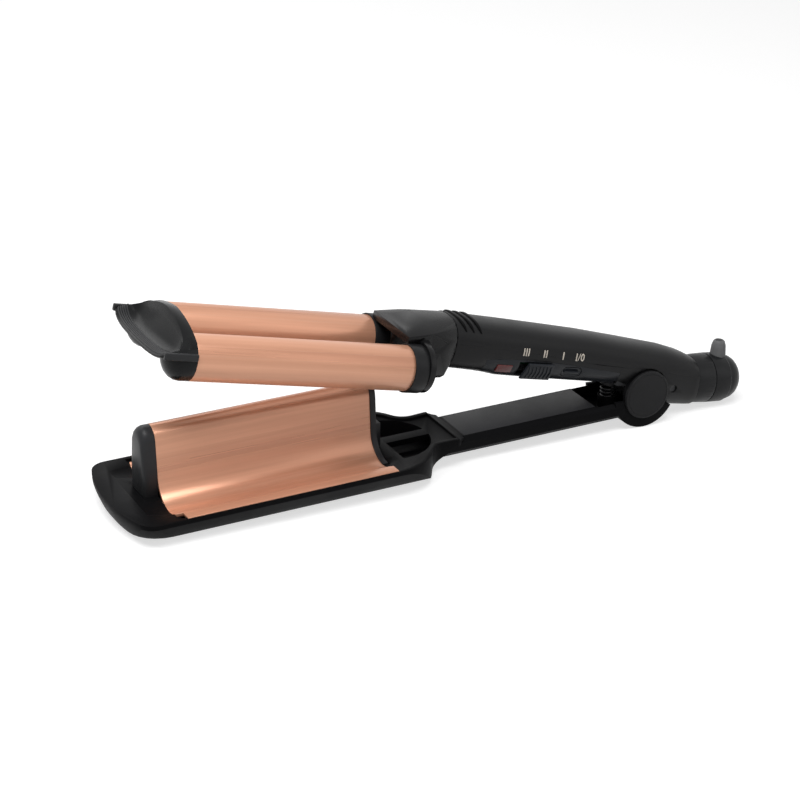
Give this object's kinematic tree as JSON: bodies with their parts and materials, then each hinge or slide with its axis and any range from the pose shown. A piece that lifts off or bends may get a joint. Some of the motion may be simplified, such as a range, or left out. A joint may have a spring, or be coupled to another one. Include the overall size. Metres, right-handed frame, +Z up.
{
  "type": "hair waver",
  "caption": "Tong-style hair waver with paired heated barrels on a sprung upper arm that closes over a ridged wave plate, with a heat slider, power button and cord swivel.",
  "frame": {"origin": "centre of the bounding box at the height of the table the part rests on", "axes": "+X from the nose of the arms to the cord end, +Z up, hinge axis parallel to Y, controls on the -Y side"},
  "size_m": [0.3561, 0.073, 0.1044],
  "materials": {
    "rose_gold": "satin rose gold coating",
    "satin_black": "satin",
    "inlay_grey": "satin",
    "panel_grey": "fine satin",
    "vent_black": "semi gloss",
    "outlet_rubber": "matte",
    "steel": "zinc plated",
    "washer_nylon": "natural nylon",
    "spreader_alloy": "as extruded",
    "heater_white": "ceramic",
    "red_lens": "clear red",
    "lamp_red": "diffuse",
    "switch_black": "moulded",
    "board_green": "solder mask"
  },
  "bodies": {
    "lower_arm": {"lower_housing": "satin_black", "wave_plate": "rose_gold", "ridge_front_cap": "satin_black", "ridge_rear_cap": "satin_black", "plate_spreader": "spreader_alloy", "plate_heater": "heater_white", "plate_screws": "steel", "arm_inlay": "inlay_grey", "hinge_pin": "steel", "hinge_washers": "washer_nylon", "hinge_cap_near": "inlay_grey", "hinge_cap_far": "inlay_grey", "return_spring": "steel"},
    "upper_arm": {"barrel_near": "rose_gold", "barrel_far": "rose_gold", "spreader_near": "spreader_alloy", "spreader_far": "spreader_alloy", "heater_near": "heater_white", "heater_far": "heater_white", "cool_tip": "satin_black", "collar_near": "satin_black", "collar_far": "satin_black", "hub": "satin_black", "handle_top": "satin_black", "vent_ribs": "vent_black", "handle_body": "satin_black", "control_panel": "panel_grey", "hinge_lug": "satin_black", "indicator_lens": "red_lens", "indicator_lamp": "lamp_red", "switch_module": "switch_black", "push_switch": "switch_black", "circuit_board": "board_green", "board_screws": "steel", "tail_screws": "steel", "tail_collar": "inlay_grey"},
    "heat_switch": {"heat_switch": "panel_grey"},
    "power_button": {"power_button": "panel_grey"},
    "cord_swivel": {"swivel_body": "inlay_grey", "cord_outlet": "outlet_rubber"}
  },
  "joints": [
    {"name": "arm_hinge", "type": "hinge", "parent": "lower_arm", "child": "upper_arm", "pos_m": [0.1129, 0, 0.0184], "axis": [0, -1, 0], "range_deg": [0, 9], "stiffness_Nm_per_rad": 1.2, "springref_deg": -28.65, "deforming": ["return_spring"]},
    {"name": "heat_switch_slide", "type": "slide", "parent": "upper_arm", "child": "heat_switch", "axis": [-0.9753, 0, 0.2208], "range_m": [0, 0.0066]},
    {"name": "power_button_push", "type": "slide", "parent": "upper_arm", "child": "power_button", "axis": [0.0664, 0.9537, 0.2933], "range_m": [0, 0.0008], "stiffness_N_per_m": 400, "springref_m": -0.0005},
    {"name": "cord_swivel_turn", "type": "hinge", "parent": "upper_arm", "child": "cord_swivel", "pos_m": [0.14654, 0, 0.01529], "axis": [0.992, 0, -0.1263], "continuous": true}
  ]
}
